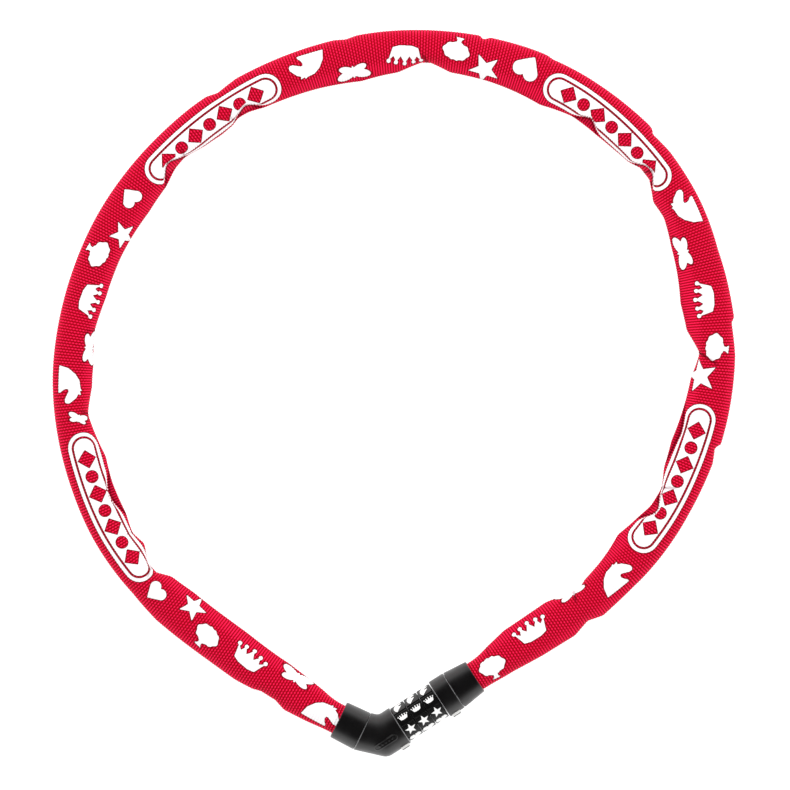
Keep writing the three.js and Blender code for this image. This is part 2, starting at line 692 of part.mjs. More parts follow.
// The origin is under the middle of the whole lock.
chainLock.updateMatrixWorld(true);
const bounds = new THREE.Box3().setFromObject(chainLock, true);
const middle = bounds.getCenter(new THREE.Vector3());
chainLock.position.set(-middle.x, -middle.y, -bounds.min.z);

export default chainLock;
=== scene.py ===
import json
import math

import bpy
import numpy as np
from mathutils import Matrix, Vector


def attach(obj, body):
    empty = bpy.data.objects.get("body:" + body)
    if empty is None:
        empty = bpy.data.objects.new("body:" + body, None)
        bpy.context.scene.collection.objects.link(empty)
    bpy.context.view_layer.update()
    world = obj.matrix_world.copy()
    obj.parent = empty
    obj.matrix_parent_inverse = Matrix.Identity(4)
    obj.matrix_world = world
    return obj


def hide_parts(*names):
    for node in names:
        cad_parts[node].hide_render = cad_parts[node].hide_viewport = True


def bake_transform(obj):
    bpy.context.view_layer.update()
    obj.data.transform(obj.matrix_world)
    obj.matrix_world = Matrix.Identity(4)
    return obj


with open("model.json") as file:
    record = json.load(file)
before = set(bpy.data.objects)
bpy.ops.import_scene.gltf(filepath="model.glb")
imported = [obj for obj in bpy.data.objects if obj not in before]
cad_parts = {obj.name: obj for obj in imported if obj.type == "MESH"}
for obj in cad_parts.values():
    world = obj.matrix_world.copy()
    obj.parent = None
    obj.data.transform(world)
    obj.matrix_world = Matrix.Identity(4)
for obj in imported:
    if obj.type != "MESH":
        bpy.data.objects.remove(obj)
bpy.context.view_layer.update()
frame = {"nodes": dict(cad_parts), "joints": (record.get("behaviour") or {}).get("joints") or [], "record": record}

# Lengths are in millimetres until a mesh is made, and the frame is in metres.
MM = 0.001

# ---------------------------------------------------------------- the lock's driving dimensions

DIAL_COUNT = 3
DIAL_FACES = 8
DIAL_WIDTH = 7.8
DIAL_PITCH = 8.3
DIAL_BORE = 8.1
DIAL_RADIUS = 10.0
DIAL_FLAT = 9.78  # to the middle of a flat face
DIAL_ROUND = 10.12  # the circle that the faces are crowned towards
DIAL_REACH = 10.42  # no part of a face stands out further
DIAL_GROOVE_DEPTH = 0.5
DIAL_GROOVE_WIDTH = 0.32
SYMBOL_HEIGHT = 0.2
DIALS_FROM = 14.3  # corner of the elbow to the first dial
DIAL_1_MIDDLE = DIALS_FROM + DIAL_WIDTH / 2
CHAIN_LEG_DEG = 153.6  # heading of the elbow's short leg
BODY_RADIUS = 11.0
ELBOW_LEG = 9.7
ELBOW_BORE = 8.9
ELBOW_RUN_DEG = -13.0  # heading of the elbow between its seam and its mitre
ELBOW_INNER_FILLET = 4.0
ELBOW_OUTER_FILLET = 7.0
ELBOW_REACH = 14.0
MARK_AT = (2.97, -2.9)  # middle of the elbow's raised mark, along the lock and across it
MARK_HEIGHT = 0.2
EDGE_HIGHLIGHT = 0.2  # width of the painted highlight line along a rounded edge
CAP_THROAT = 7.4
COLLAR_BORE = 6.2
COLLAR_FROM = 39.3
COLLAR_TO = 48.3
PLUG_CAP_FROM = 48.6
PLUG_CAP_TO = 62.0
CHAIN_CAP_FROM = 10.0
CHAIN_CAP_TO = 23.8
CODE_LINE_DEG = 73.0  # the code line, from the top towards the outside of the loop
INDEX_TOP = 12.6
INDEX_HALF_WIDTH = 0.9

# The chain and its sleeve.
WIRE = 4.0
LINK_INNER_WIDTH = 6.0
LINK_PLAY = 1.9
SLEEVE_END_RADIUS = 8.1
SLEEVE_WALL = 0.7
SLEEVE_IN_CAP = 7.4
SLEEVE_CLOSING = 16.0  # length over which the sleeve rounds up to enter a cap
SLEEVE_HALF_HEIGHT = 7.0
SLEEVE_SAG = 7.55  # the sleeve's underside, below the chain's middle
LEAST_SIDE = 7.4  # the chain keeps the sleeve at least this wide on either side
RIB_PITCH = 1.51
WARP_PITCH = 1.8
ROWS_PER_RIB = 6
END_PIECE_GAP = 3.2  # the sleeve's end pieces stop this far short of the next pivot
COLUMNS = 144
RIB_HEIGHT = 0.13
LIP_WIDTH = 1.0
LIP_STEP = 2.6
LIP_ROLL = 2.4  # width over which the tucked cloth rolls under the lip
CREASE_WIDTH = 0.8
CREASE_REACH = 14.0  # half the length of sleeve that a crease can cross
CREASE_FADE = 3.0
INNER_SOFTNESS = 1.1  # how far the corners of each edge's outline are rounded off
OUTER_SOFTNESS = 0.7
NO_PRINT = -9.0  # a distance that is far outside every printed shape

# The sleeve's edges as it lies: (distance from the first chain pivot, width beside the chain).
INNER_EDGE = [
    (12, 8.3), (24, 9.8), (38, 12.0), (50, 13.3), (80, 13.9), (116, 13.2), (132, 11.6), (143, 5.6),
    (157, 12.3), (166, 10.2), (178, 12.4), (198, 12.1), (213, 13.0), (228, 10.0), (239, 7.9),
    (254, 11.2), (267, 11.6), (287, 9.8), (306, 11.4), (330, 11.2), (362, 12.2), (380, 11.0),
    (391, 7.9), (399, 7.3), (411, 9.9), (423, 10.8), (431, 10.2), (436, 8.4), (443, 8.6), (452, 10.6),
    (462, 11.3), (486, 12.9), (510, 15.0), (532, 12.6), (548, 6.4), (562, 11.6), (584, 12.6),
    (618, 15.4), (638, 12.1), (657, 12.0), (668, 11.4), (680, 10.2), (691, 5.6), (707, 12.6),
    (718, 11.8), (736, 14.4), (770, 16.6), (786, 14.6), (799, 7.8), (814, 11.8), (834, 13.4),
    (852, 14.6), (868, 13.0), (879, 9.4), (891, 9.8), (900, 12.0), (916, 14.8), (936, 10.6),
    (957, 7.0), (972, 11.4), (1000, 12.1), (1013, 10.0), (1026, 8.3),
]
OUTER_EDGE = [
    (12, 8.2), (30, 9.0), (40, 9.5), (51, 6.0), (60, 9.0), (70, 10.3), (122, 11.4), (140, 9.7),
    (300, 10.2), (418, 11.0), (428, 10.8), (434, 9.0), (446, 10.5), (500, 9.9), (506, 8.8),
    (512, 9.8), (562, 10.4), (575, 10.6), (577, 8.6), (580, 10.6), (610, 10.7), (614, 9.8),
    (640, 10.2), (673, 11.6), (676, 11.2), (677, 9.6), (690, 10.6), (746, 9.2), (781, 11.4),
    (783, 9.8), (800, 11.4), (846, 11.4), (847.5, 8.8), (856, 10.6), (884, 10.2), (930, 11.1),
    (952, 12.8), (960, 10.0), (970, 12.4),
    (990, 11.0), (1008, 8.9), (1026, 8.3),
]
# Where a tuck on the inner side lets the lower layer show past a lip:
# (place, reach, width past the lip, cloth taken in).
TUCKS = [
    (191, 15, 3.8, 4.5), (389, 10, 5.0, 9.5), (443.5, 9, 3.8, 8.0), (647.5, 9, 4.6, 5.5),
    (691, 9, 3.8, 9.0), (847, 20, 3.2, 1.5), (892, 10, 4.5, 8.0),
]
# Creases that start at the inner edge: (place, lean along the sleeve for each step out, end, depth).
CREASES = [
    (143, -0.6, -1.0, 1.0), (166, 0.3, -5.0, 0.5), (239, 0.5, -3.0, 0.8), (287, -0.4, -4.0, 0.5),
    (399, 0.4, -2.0, 0.9), (434, -0.5, -4.0, 0.6), (548, -0.7, -2.0, 1.0), (691, 0.5, 0.0, 0.9),
    (799, 0.65, 2.6, 1.1), (879, -0.5, -1.0, 1.0), (957, 0.5, -1.0, 1.0), (1013, 0.4, -4.0, 0.5),
]
# How high the sleeve must stay over the chain, by distance from its middle.
CLEAR_PLACES = [0.0, 3.9, 6.9, 7.6]
CLEAR_HEIGHTS = [7.1, 7.1, 4.2, 0.8]

# The light on the set.
WORLD_LIGHT = 0.92
FLOOR_GLOW = 0.85

# The print repeats; these are the places of its trees, and how far the cloth is stretched there.
PRINT_REPEATS = [(96, 0.95), (328, 0.92), (564, 1.03), (796, 0.98), (1016, 1.04)]
LAST_PRINT = 1025  # the cloth beyond is in the plug cap
PANEL_HALF_LENGTH = 44.5
MOTIF_REACH = 13.0  # no other printed shape reaches further along the sleeve


# ---------------------------------------------------------------- places taken from the frame

def joint_at(name):
    return next(joint for joint in frame["joints"] if joint["name"] == name)


def chain_pivots():
    names = [joint["name"] for joint in frame["joints"] if joint["name"].startswith("chain_pivot_")]
    return np.array([joint_at(name)["pos_m"] for name in sorted(names)]) / MM


def heading(degrees):
    return np.array([math.cos(math.radians(degrees)), math.sin(math.radians(degrees)), 0.0])


PIVOTS = chain_pivots()
UP = np.array([0.0, 0.0, 1.0])
LOCK_AXIS = np.array(joint_at("dial_turn_1")["axis"])
CORNER = np.array(joint_at("dial_turn_1")["pos_m"]) / MM - LOCK_AXIS * DIAL_1_MIDDLE
CHAIN_LEG = heading(CHAIN_LEG_DEG)
LINK_COUNT = len(PIVOTS) - 1


def loop_through(pivots, steps=80):
    """A smooth curve through the chain's pivots, as points and the distance along them."""
    ends = [2 * pivots[0] - pivots[1], *pivots, 2 * pivots[-1] - pivots[-2]]
    share = np.linspace(0, 1, steps, endpoint=False)[:, None]
    points = []
    for before, start, end, after in zip(ends, ends[1:], ends[2:], ends[3:]):
        bend = 2 * before - 5 * start + 4 * end - after
        twist = 3 * start - 3 * end + after - before
        points.append(start + ((end - before) * share + bend * share**2 + twist * share**3) / 2)
    points = np.vstack([*points, pivots[-1:]])
    steps_long = np.linalg.norm(np.diff(points, axis=0), axis=1)
    return points, np.concatenate([[0], np.cumsum(steps_long)])


LOOP_POINTS, LOOP_AT = loop_through(PIVOTS)
LOOP_LENGTH = LOOP_AT[-1]
PIVOT_AT = LOOP_AT[:: (len(LOOP_AT) - 1) // LINK_COUNT]
CHAIN_MOUTH = CHAIN_CAP_TO - np.linalg.norm(PIVOTS[0] - CORNER)
PLUG_MOUTH = LOOP_LENGTH - (PLUG_CAP_TO - np.linalg.norm(PIVOTS[-1] - CORNER))


def loop_frame(at):
    """Centre points of the loop, and the outward and upward directions there."""
    centre = np.stack([np.interp(at, LOOP_AT, LOOP_POINTS[:, k]) for k in range(3)], 1)
    nudge = 3.0
    ahead, behind = (
        np.stack([np.interp(at + way * nudge, LOOP_AT, LOOP_POINTS[:, k]) for k in range(3)], 1)
        for way in (1, -1)
    )
    along = ahead - behind
    along /= np.linalg.norm(along, axis=1)[:, None]
    out = np.cross(np.broadcast_to(UP, along.shape), along)
    out /= np.linalg.norm(out, axis=1)[:, None]
    return centre, out, np.cross(along, out)


# ---------------------------------------------------------------- flat shapes, as distances inside

def disc(x, y, middle_x, middle_y, radius):
    return radius - np.hypot(x - middle_x, y - middle_y)


def leaf(x, y, middle_x, middle_y, long, short, degrees):
    """An ellipse turned by an angle."""
    turn = math.radians(degrees)
    along = (x - middle_x) * math.cos(turn) + (y - middle_y) * math.sin(turn)
    across = (y - middle_y) * math.cos(turn) - (x - middle_x) * math.sin(turn)
    return (1 - np.hypot(along / long, across / short)) * short


def polygon(x, y, corners):
    """Distance to a polygon's outline, positive inside."""
    nearest = np.full(x.shape, np.inf)
    inside = np.zeros(x.shape, bool)
    for (x0, y0), (x1, y1) in zip(corners, corners[1:] + corners[:1]):
        dx, dy = x1 - x0, y1 - y0
        share = np.clip(((x - x0) * dx + (y - y0) * dy) / (dx * dx + dy * dy), 0, 1)
        nearest = np.minimum(nearest, np.hypot(x - x0 - share * dx, y - y0 - share * dy))
        crosses = (y0 > y) != (y1 > y)
        at = x0 + (y - y0) * dx / np.where(dy == 0, 1, dy)
        inside ^= crosses & (x < at)
    return np.where(inside, nearest, -nearest)


def joined(*shapes):
    return np.maximum.reduce(shapes)


def raised(inside, slope):
    """1 inside a shape and 0 outside it, with a slope of the given width across its outline."""
    return np.clip(inside / slope + 0.5, 0, 1)


def mirrored(points):
    return points + [(-x, y) for x, y in reversed(points)]


def heart(x, y):
    lobes = [disc(x, y, side * 2.6, 1.7, 3.0) for side in (-1, 1)]
    return joined(*lobes, polygon(x, y, [(-5.1, 0.1), (0, -5.4), (5.1, 0.1), (0, 3.0)]))


def star(x, y, points=5, tip=7.9, notch=3.3):
    corners = []
    for step in range(2 * points):
        radius = notch if step % 2 else tip
        turn = math.pi / 2 + step * math.pi / points
        corners.append((radius * math.cos(turn), radius * math.sin(turn)))
    return polygon(x, y, corners)


def tree(x, y):
    """A broad crown with a scalloped edge, over a short trunk."""
    scallops = 1 + 0.045 * np.cos(10 * np.arctan2(y - 1.2, x))
    leaves = (scallops - np.hypot(x / 7.2, (y - 1.2) / 4.8)) * 4.8
    trunk = polygon(x, y, mirrored([(1.3, -2.0), (1.1, -5.2), (2.2, -6.8)]))
    return joined(leaves, trunk)


def crown(x, y):
    half = [(2.4, 0.4), (4.9, 3.6), (6.3, 0.3), (9.2, 2.6), (6.8, -4.4), (3.2, -5.4)]
    band = polygon(x, y, [(0, 4.6)] + half + [(-a, b) for a, b in reversed(half)])
    tips = [(0, 4.8), (4.95, 3.9), (9.1, 3.0)]
    balls = [disc(x, y, side * a, b, 1.15) for a, b in tips for side in (-1, 1)]
    return joined(band, *balls)


def butterfly(x, y):
    wings = []
    for side in (-1, 1):
        wings.append(leaf(x, y, side * 4.6, 1.5, 5.2, 2.5, side * 14))
        wings.append(leaf(x, y, side * 3.7, -1.9, 4.2, 1.9, side * -16))
    return joined(leaf(x, y, 0, 0, 0.9, 3.6, 0), *wings)


def horse(x, y):
    """A horse's head and neck."""
    ears = [(-1.2, 9.9), (-2.5, 7.9), (-3.4, 8.5), (-3.9, 7.0)]
    back = [(-6.5, 3.7), (-7.4, -0.3), (-6.8, -5.3), (-4.0, -9.9)]
    throat = [(6.35, -0.3), (5.3, 0.6), (3.7, 0.8), (1.9, 1.5), (1.1, 2.8), (1.9, 3.6)]
    snout = [(4.3, 4.3), (6.2, 4.8), (7.4, 5.9), (7.3, 7.1), (6.2, 8.2)]
    forehead = [(3.7, 8.7), (1.5, 9.0), (-0.6, 8.4)]
    return polygon(x, y, ears + back + throat + snout + forehead)


def moon(x, y):
    return np.minimum(disc(x, y, -0.6, 0, 6.2), -disc(x, y, 2.4, 1.0, 5.2))


def flower(x, y, petals=6):
    shapes = [disc(x, y, 0, 0, 2.6)]
    for step in range(petals):
        turn = step * 2 * math.pi / petals
        shapes.append(disc(x, y, 4 * math.cos(turn), 4 * math.sin(turn), 2.3))
    return joined(*shapes)


def panel(x, y, half_length=PANEL_HALF_LENGTH, half_width=8.8, line_inset=2.6):
    """A long rounded panel with an inset line and a row of diamonds and dots left open."""
    rim = half_width - np.hypot(np.maximum(np.abs(x) - (half_length - half_width), 0), y)
    line = 0.65 - np.abs(rim - line_inset)
    shapes = []
    for step in range(-3, 4):
        middle = step * 9.9
        if step % 2:
            shapes.append((5.3 - np.abs(x - middle) - np.abs(y)) * math.sqrt(0.5))
        else:
            shapes.append(disc(x, y, middle, 0, 3.6))
    return np.minimum(rim, -joined(line, *shapes))


def placed(shape, x, y, size=1.0, degrees=0.0):
    """A shape drawn at a size and turned by an angle."""
    turn = math.radians(degrees)
    across = (x * math.cos(turn) + y * math.sin(turn)) / size
    upward = (y * math.cos(turn) - x * math.sin(turn)) / size
    return shape(across, upward) * size


# Each printed shape: how far past its repeat's tree it lies, how far out from the chain, and its turn.
MOTIFS = [
    (heart, 38.0, 0.0, -15), (star, 16.3, -7.8, -4), (tree, 0.0, 0.8, -10), (crown, -27.0, -4.3, -4),
    (butterfly, -56.0, -10.2, 0), (horse, -78.5, 2.2, -45),
]
# Panels lie between the repeats, and one of them takes the place of a heart: (place, out).
PANELS = [(184.5, -3.3), (421.0, -3.1), (659.5, -4.1), (872.0, -3.9)]
# Where the cloth is pulled flat, its prints come out larger.
LARGE_PRINTS = {(564, heart): 1.3, (564, star): 1.15, (796, star): 1.25}
PRINTS = [
    (shape, repeat + stretch * past, out, LARGE_PRINTS.get((repeat, shape), 1.0), turn)
    for repeat, stretch in PRINT_REPEATS
    for shape, past, out, turn in MOTIFS
    if repeat + past < LAST_PRINT
    and not any(abs(repeat + past - place) < PANEL_HALF_LENGTH for place, _ in PANELS)
]
PRINTS += [(panel, place, out, 1.0, 0) for place, out in PANELS]
# One small butterfly is out of step, past the end of the first panel.
PRINTS.append((butterfly, 237.0, -3.3, 0.6, 70))


# ---------------------------------------------------------------- materials

class Nodes:
    """A short way to wire a material's nodes."""

    def __init__(self, name, slot_color, roughness, metallic=0.0):
        self.material = bpy.data.materials.new(name)
        self.material.use_nodes = True
        self.tree = self.material.node_tree
        self.shader = self.tree.nodes["Principled BSDF"]
        self.shader.inputs["Base Color"].default_value = (*slot_color, 1)
        self.shader.inputs["Roughness"].default_value = roughness
        self.shader.inputs["Metallic"].default_value = metallic

    def add(self, kind, **settings):
        node = self.tree.nodes.new("ShaderNode" + kind)
        for name, value in settings.items():
            setattr(node, name, value)
        return node

    def feed(self, target, value):
        if isinstance(value, bpy.types.NodeSocket):
            self.tree.links.new(value, target)
        else:
            target.default_value = value

    def maths(self, operation, *values):
        node = self.add("Math", operation=operation)
        for socket, value in zip(node.inputs, values):
            self.feed(socket, value)
        return node.outputs[0]

    def ramp(self, value, low, high, to_low=0.0, to_high=1.0):
        node = self.add("MapRange", interpolation_type="SMOOTHSTEP")
        for socket, one in zip(node.inputs, (value, low, high, to_low, to_high)):
            self.feed(socket, one)
        return node.outputs[0]

    def mix(self, share, first, second):
        node = self.add("Mix", data_type="RGBA")
        self.feed(node.inputs[0], share)
        for socket, one in zip((node.inputs[6], node.inputs[7]), (first, second)):
            self.feed(socket, one if isinstance(one, bpy.types.NodeSocket) else (*one, 1))
        return node.outputs[2]

    def noise(self, scale, detail=3.0, place=None):
        node = self.add("TexNoise")
        node.inputs["Scale"].default_value = scale
        node.inputs["Detail"].default_value = detail
        place = place or self.add("TexCoord").outputs["Object"]
        self.tree.links.new(place, node.inputs["Vector"])
        return node.outputs["Fac"]

    def bump(self, height, distance_mm, strength=1.0, under=None):
        node = self.add("Bump")
        self.feed(node.inputs["Strength"], strength)
        node.inputs["Distance"].default_value = distance_mm * MM
        self.feed(node.inputs["Height"], height)
        if under:
            self.feed(node.inputs["Normal"], under)
        return node.outputs["Normal"]

    def reach(self, start, direction):
        """How far, in millimetres, a point of a fixed CAD piece lies from a start in a direction."""
        node = self.add("VectorMath", operation="DOT_PRODUCT")
        self.tree.links.new(self.add("TexCoord").outputs["Object"], node.inputs[0])
        node.inputs[1].default_value = tuple(direction / MM)
        return self.maths("SUBTRACT", node.outputs["Value"], float(start @ direction))

    def set(self, name, value):
        self.feed(self.shader.inputs[name], value)


def code_line_direction():
    """Across the lock's axis, towards the line where the code is read."""
    turn = math.radians(CODE_LINE_DEG)
    return UP * math.cos(turn) - np.cross(UP, LOCK_AXIS) * math.sin(turn)


def linear(red, green, blue):
    """A colour given in 0 to 255 steps, as the renderer wants it."""
    return tuple((one / 255) ** 2.2 for one in (red, green, blue))


def woven_nylon():
    """Ribbed red nylon: deep grooves between the ribs, crossing threads that show most in the middle; painted
    shade in the grooves, painted highlight on the rib tops, and painted shade in the folds.
    """
    nodes = Nodes("woven_nylon", linear(212, 22, 53), 0.7)
    weave = nodes.add("UVMap", uv_map="weave").outputs["UV"]
    split = nodes.add("SeparateXYZ")
    nodes.feed(split.inputs[0], weave)
    rib_at, warp_at = split.outputs[0], split.outputs[1]
    rib = nodes.maths("COSINE", nodes.maths("MULTIPLY", rib_at, 2 * math.pi))
    odd = nodes.maths("MODULO", nodes.maths("ROUND", rib_at), 2.0)
    warp_turn = nodes.maths("MULTIPLY_ADD", warp_at, 2 * math.pi, nodes.maths("MULTIPLY", odd, math.pi))
    warp = nodes.maths("COSINE", warp_turn)
    crossing = nodes.ramp(nodes.maths("ABSOLUTE", warp_at), 3.0, 6.0, 0.35, 0.1)
    hidden = nodes.maths("MULTIPLY", nodes.maths("SUBTRACT", 1.0, warp), crossing)
    height = nodes.maths("MULTIPLY_ADD", rib, 0.5, nodes.maths("SUBTRACT", 0.5, hidden))
    tone = nodes.noise(60.0)
    # painted shade and highlight: the thread colour goes from dark in the grooves to bright on the rib tops, as
    # light falls on the ribs
    lit = nodes.ramp(height, 0.0, 0.8)
    thread = nodes.mix(lit, linear(160, 0, 25), linear(255, 36, 84))
    thread = nodes.mix(nodes.ramp(tone, 0.3, 0.7, 0.0, 0.15), thread, linear(206, 8, 42))
    # painted shade: darker at each lip, on the cloth past it, along creases and low on the sides
    fold_at = nodes.add("Attribute", attribute_name="fold").outputs["Fac"]
    thread = nodes.mix(nodes.maths("MULTIPLY", fold_at, 0.85), thread, linear(84, 0, 18))
    print_at = nodes.add("Attribute", attribute_name="print").outputs["Fac"]
    rough_edge = nodes.maths("ADD", print_at, nodes.maths("MULTIPLY_ADD", nodes.noise(2500.0), 0.16, -0.08))
    outline = nodes.ramp(nodes.maths("ABSOLUTE", rough_edge), 0.35, 0.65, 0.9, 0.0)
    inked = nodes.ramp(rough_edge, -0.06, 0.06)
    # the ink gets the same painted shade in the grooves and painted highlight on the rib tops
    ink = nodes.mix(lit, linear(244, 240, 242), linear(255, 255, 255))
    # the same painted shade darkens the ink
    ink = nodes.mix(nodes.maths("MULTIPLY", fold_at, 0.6), ink, linear(150, 110, 120))
    color = nodes.mix(inked, nodes.mix(outline, thread, linear(118, 0, 22)), ink)
    nodes.set("Base Color", color)
    nodes.set("Roughness", nodes.ramp(inked, 0.0, 1.0, 0.6, 0.75))
    nodes.set("Specular IOR Level", 0.04)
    nodes.set("Sheen Weight", 0.02)
    nodes.set("Sheen Roughness", 0.5)
    nodes.set("Sheen Tint", (1.0, 0.15, 0.25, 1.0))
    fine = nodes.bump(height, 0.2, nodes.ramp(inked, 0.0, 1.0, 0.9, 0.3))
    nodes.set("Normal", nodes.bump(nodes.noise(4000.0), 0.02, 0.4, fine))
    return nodes.material


def satin_plastic(name, color, roughness):
    """Black moulded plastic: a fine spark-eroded grain, smoother in places from handling, and a painted highlight
    along some rounded edges.
    """
    nodes = Nodes(name, color, roughness)
    handled = nodes.noise(90.0, 4.0)
    edge_highlight_at = nodes.add("Attribute", attribute_name="edge").outputs["Fac"]
    # painted highlight: a pale line on rounded edges at the seams, broken up by noise
    painted_highlight = nodes.maths("MULTIPLY", edge_highlight_at, nodes.ramp(nodes.noise(700.0, 3.0), 0.25, 0.5, 0.55, 1.0))
    base = nodes.mix(handled, color, tuple(one * 1.6 + 0.0015 for one in color))
    nodes.set("Base Color", nodes.mix(painted_highlight, base, linear(150, 150, 152)))
    nodes.set("Roughness", nodes.ramp(handled, 0.35, 0.7, roughness - 0.06, roughness + 0.08))
    nodes.set("Specular IOR Level", 0.6)
    nodes.set("Normal", nodes.bump(nodes.noise(3500.0, 2.0), 0.02, 0.3))
    return nodes.material


def dial_plastic():
    """Black dial plastic whose raised symbols are painted white."""
    nodes = Nodes("dial_plastic", linear(12, 11, 12), 0.36)
    print_at = nodes.add("Attribute", attribute_name="print").outputs["Fac"]
    painted = nodes.ramp(print_at, -0.05, 0.05)
    wear_and_edge_highlight = nodes.noise(300.0, 4.0)
    black = nodes.mix(wear_and_edge_highlight, linear(9, 8, 9), linear(19, 18, 19))
    white = nodes.mix(wear_and_edge_highlight, linear(240, 240, 238), linear(254, 254, 253))
    nodes.set("Base Color", nodes.mix(painted, black, white))
    nodes.set("Roughness", nodes.ramp(painted, 0.0, 1.0, 0.36, 0.5))
    nodes.set("Normal", nodes.bump(nodes.noise(3000.0, 2.0), 0.02, 0.3))
    return nodes.material


def metal(name, color, roughness, grain, blotch):
    """Bare or plated metal with a fine grain and a slow change of tone."""
    nodes = Nodes(name, color, roughness, 1.0)
    tone = nodes.noise(blotch, 4.0)
    dark = tuple(one * 0.72 for one in color)
    nodes.set("Base Color", nodes.mix(nodes.ramp(tone, 0.35, 0.65), dark, color))
    nodes.set("Roughness", nodes.ramp(tone, 0.3, 0.7, roughness - 0.08, roughness + 0.12))
    nodes.set("Normal", nodes.bump(nodes.noise(grain, 3.0), 0.03, 0.4))
    return nodes.material


def white_plastic():
    """White inlay plastic, with a dark line round the top of each index mark."""
    nodes = Nodes("white_plastic", linear(240, 240, 238), 0.45)
    dirt = nodes.noise(500.0, 4.0)
    white = nodes.mix(dirt, linear(228, 227, 224), linear(248, 248, 246))
    code_line = code_line_direction()
    height = nodes.reach(CORNER, code_line)
    across = nodes.maths("ABSOLUTE", nodes.reach(CORNER, np.cross(code_line, LOCK_AXIS)))
    near_top = nodes.ramp(height, INDEX_TOP - 0.4, INDEX_TOP - 0.3)
    near_side = nodes.ramp(across, INDEX_HALF_WIDTH - 0.32, INDEX_HALF_WIDTH - 0.24)
    line = nodes.maths("MULTIPLY", near_top, near_side)
    nodes.set("Base Color", nodes.mix(line, white, linear(60, 60, 62)))
    nodes.set("Normal", nodes.bump(dirt, 0.02, 0.3))
    return nodes.material


NYLON = woven_nylon()
CASING = satin_plastic("casing_plastic", linear(14, 12, 13), 0.36)
DIAL_BLACK = dial_plastic()
DIAL_WHITE = white_plastic()
HARD_STEEL = metal("hard_steel", linear(150, 152, 156), 0.38, 1800.0, 120.0)
CAST_ZINC = metal("cast_zinc", linear(168, 170, 172), 0.5, 2600.0, 200.0)
SPRING_STEEL = metal("spring_steel", linear(205, 207, 210), 0.26, 4000.0, 260.0)
SLOT_MATERIALS = {
    "hard_steel": HARD_STEEL,
    "cast_zinc": CAST_ZINC,
    "spring_steel": SPRING_STEEL,
    "casing_plastic": CASING,
    "dial_plastic": DIAL_BLACK,
    "white_plastic": DIAL_WHITE,
    "woven_nylon": NYLON,
}


# ---------------------------------------------------------------- meshes from grids

def grid_faces(rows, columns):
    """Quads over a grid of points numbered row by row, closed round its rows and its columns."""
    row = np.arange(rows)[:, None]
    column = np.arange(columns)[None, :]
    below, beside = (row + 1) % rows, (column + 1) % columns
    row, below = row * columns, below * columns
    corners = (row + column, below + column, below + beside, row + beside)
    return np.stack(np.broadcast_arrays(*corners), -1).reshape(-1, 4)


def faces_out(points, faces):
    """The faces, turned over if they enclose a negative volume."""
    a, b, c, d = (points[faces[:, k]] for k in range(4))
    volume = (np.cross(b - a, c - a) * a).sum() + (np.cross(c - a, d - a) * a).sum()
    return faces if volume > 0 else faces[:, ::-1]


def add_piece(name, points, material, normals=None, weave=None, crease_deg=35.0, **values):
    """A closed piece from a grid of points, in millimetres."""
    rows, columns = points.shape[:2]
    flat = points.reshape(-1, 3)
    faces = grid_faces(rows, columns)
    outward = faces_out(flat, faces)
    mesh = bpy.data.meshes.new(name)
    mesh.from_pydata((flat * MM).tolist(), [], outward.tolist())
    mesh.materials.append(material)
    if weave is not None:
        set_weave(mesh, weave, rows, columns, outward is not faces)
    for attribute_name, numbers in values.items():
        attribute = mesh.attributes.new(attribute_name, "FLOAT", "POINT")
        attribute.data.foreach_set("value", numbers.astype(np.float32).ravel())
    mesh.shade_smooth()
    if normals is None:
        mesh.set_sharp_from_angle(angle=math.radians(crease_deg))
    else:
        mesh.normals_split_custom_set_from_vertices(normals.reshape(-1, 3).tolist())
    piece = bpy.data.objects.new(name, mesh)
    bpy.context.scene.collection.objects.link(piece)
    return piece


def set_weave(mesh, weave, rows, columns, turned_over):
    """Stores the woven coordinates, of which there is one more column than of points."""
    row = np.arange(rows)[:, None]
    column = np.arange(columns)[None, :]
    below = (row + 1) % rows
    corners = [(row, column), (below, column), (below, column + 1), (row, column + 1)]
    values = np.stack([np.broadcast_to(weave[r, c], (rows, columns, 2)) for r, c in corners], 2)
    if turned_over:
        values = values[:, :, ::-1]
    layer = mesh.uv_layers.new(name="weave")
    layer.data.foreach_set("uv", values.astype(np.float32).ravel())


# ---------------------------------------------------------------- casings and dials

def rounded(corners, steps=5):
    """A closed outline of (along, radius, fillet) corners, with each fillet drawn as an arc."""
    points = np.array([corner[:2] for corner in corners], float)
    outline = []
    for index, corner in enumerate(corners):
        here, fillet = points[index], corner[2]
        to_last = points[index - 1] - here
        to_next = points[(index + 1) % len(points)] - here
        if fillet == 0:
            outline.append(here)
            continue
        to_last, to_next = to_last / np.linalg.norm(to_last), to_next / np.linalg.norm(to_next)
        half = math.acos(np.clip(to_last @ to_next, -1, 1)) / 2
        start, end = here + to_last * fillet, here + to_next * fillet
        middle = here + (to_last + to_next) / np.linalg.norm(to_last + to_next) * fillet / math.cos(half)
        for share in np.linspace(0, 1, steps):
            spoke = (1 - share) * (start - middle) + share * (end - middle)
            outline.append(middle + spoke / np.linalg.norm(spoke) * np.linalg.norm(start - middle))
    return np.array(outline)


def divided(outline, longest):
    """The closed outline, with its long stretches cut up."""
    points = []
    for start, end in zip(outline, np.roll(outline, -1, 0)):
        pieces = max(1, math.ceil(np.linalg.norm(end - start) / longest))
        points += [start + (end - start) * step / pieces for step in range(pieces)]
    return np.array(points)


def turned(outline, axis, sides):
    """Points round an axis from the corner, for an outline of (along, radius)."""
    middles = CORNER + np.outer(outline[:, 0], axis)
    angles = np.arange(sides)[:, None] * 2 * math.pi / sides
    ring = np.cross(UP, axis) * np.cos(angles) + UP * np.sin(angles)
    return middles[:, None] + ring[None] * outline[:, 1][:, None, None]


